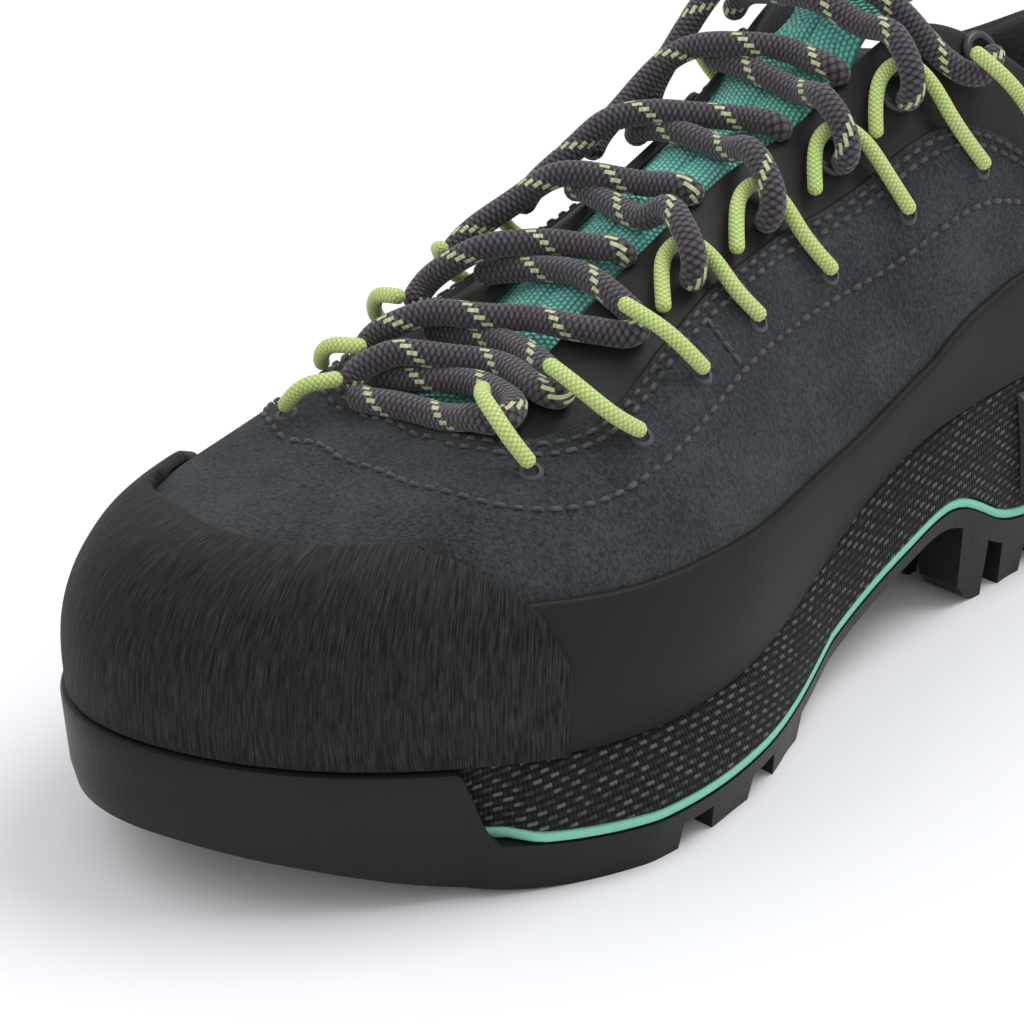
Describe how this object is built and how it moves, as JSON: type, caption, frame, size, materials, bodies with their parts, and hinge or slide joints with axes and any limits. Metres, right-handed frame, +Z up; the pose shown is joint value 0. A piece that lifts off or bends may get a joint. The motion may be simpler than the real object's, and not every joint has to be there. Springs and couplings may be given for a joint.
{
  "type": "approach shoe",
  "caption": "Low-cut approach shoe for the left foot with rubber toe cap and rand, suede upper, lace-to-toe cord loops, padded tongue and lugged sole.",
  "frame": {"origin": "on the floor, under the middle of the shoe's box", "axes": "+Z up, toe towards -Y, heel towards +Y, the outer side of the foot towards +X"},
  "size_m": [0.1, 0.2687, 0.1322],
  "materials": {
    "sole_rubber": "matt black moulded rubber",
    "bright_foam": "mint green foam, matt",
    "midsole_knit": "dark knit with light grey flecks over foam",
    "heel_plastic": "smooth grey moulded plastic",
    "suede": "blue grey suede with short nap, near black smooth layer at the throat",
    "cap_rubber": "charcoal rubber with fine upright lines",
    "rand_rubber": "smooth matt black rubber",
    "insole_cloth": "dark cloth over foam",
    "tongue_cloth": "mint green woven cloth, padded",
    "lace_braid": "charcoal braid with pale green ticks",
    "loop_cord": "pale yellow green braided cord",
    "eyelet_plastic": "black satin plastic"
  },
  "bodies": {
    "root": {"outsole": "sole_rubber", "bright_layer": "bright_foam", "midsole": "midsole_knit", "heel_stabiliser": "heel_plastic", "upper": "suede", "toe_cap": "cap_rubber", "rand": "rand_rubber", "insole": "insole_cloth", "tongue": "tongue_cloth", "lace_front": "lace_braid", "lace_crossing_1": "lace_braid", "lace_crossing_2": "lace_braid", "lace_crossing_3": "lace_braid", "lace_crossing_4": "lace_braid", "lace_crossing_5": "lace_braid", "lace_crossing_6": "lace_braid", "cord_loop_outer_1": "loop_cord", "cord_loop_outer_2": "loop_cord", "cord_loop_outer_3": "loop_cord", "cord_loop_outer_4": "loop_cord", "cord_loop_outer_5": "loop_cord", "cord_loop_outer_6": "loop_cord", "cord_loop_outer_7": "loop_cord", "cord_loop_outer_8": "loop_cord", "cord_loop_inner_1": "loop_cord", "cord_loop_inner_2": "loop_cord", "cord_loop_inner_3": "loop_cord", "cord_loop_inner_4": "loop_cord", "cord_loop_inner_5": "loop_cord", "cord_loop_inner_6": "loop_cord", "cord_loop_inner_7": "loop_cord", "cord_loop_inner_8": "loop_cord", "eyelet_outer_6": "eyelet_plastic", "eyelet_outer_7": "eyelet_plastic", "eyelet_outer_8": "eyelet_plastic", "eyelet_inner_6": "eyelet_plastic", "eyelet_inner_7": "eyelet_plastic", "eyelet_inner_8": "eyelet_plastic"}
  },
  "joints": []
}
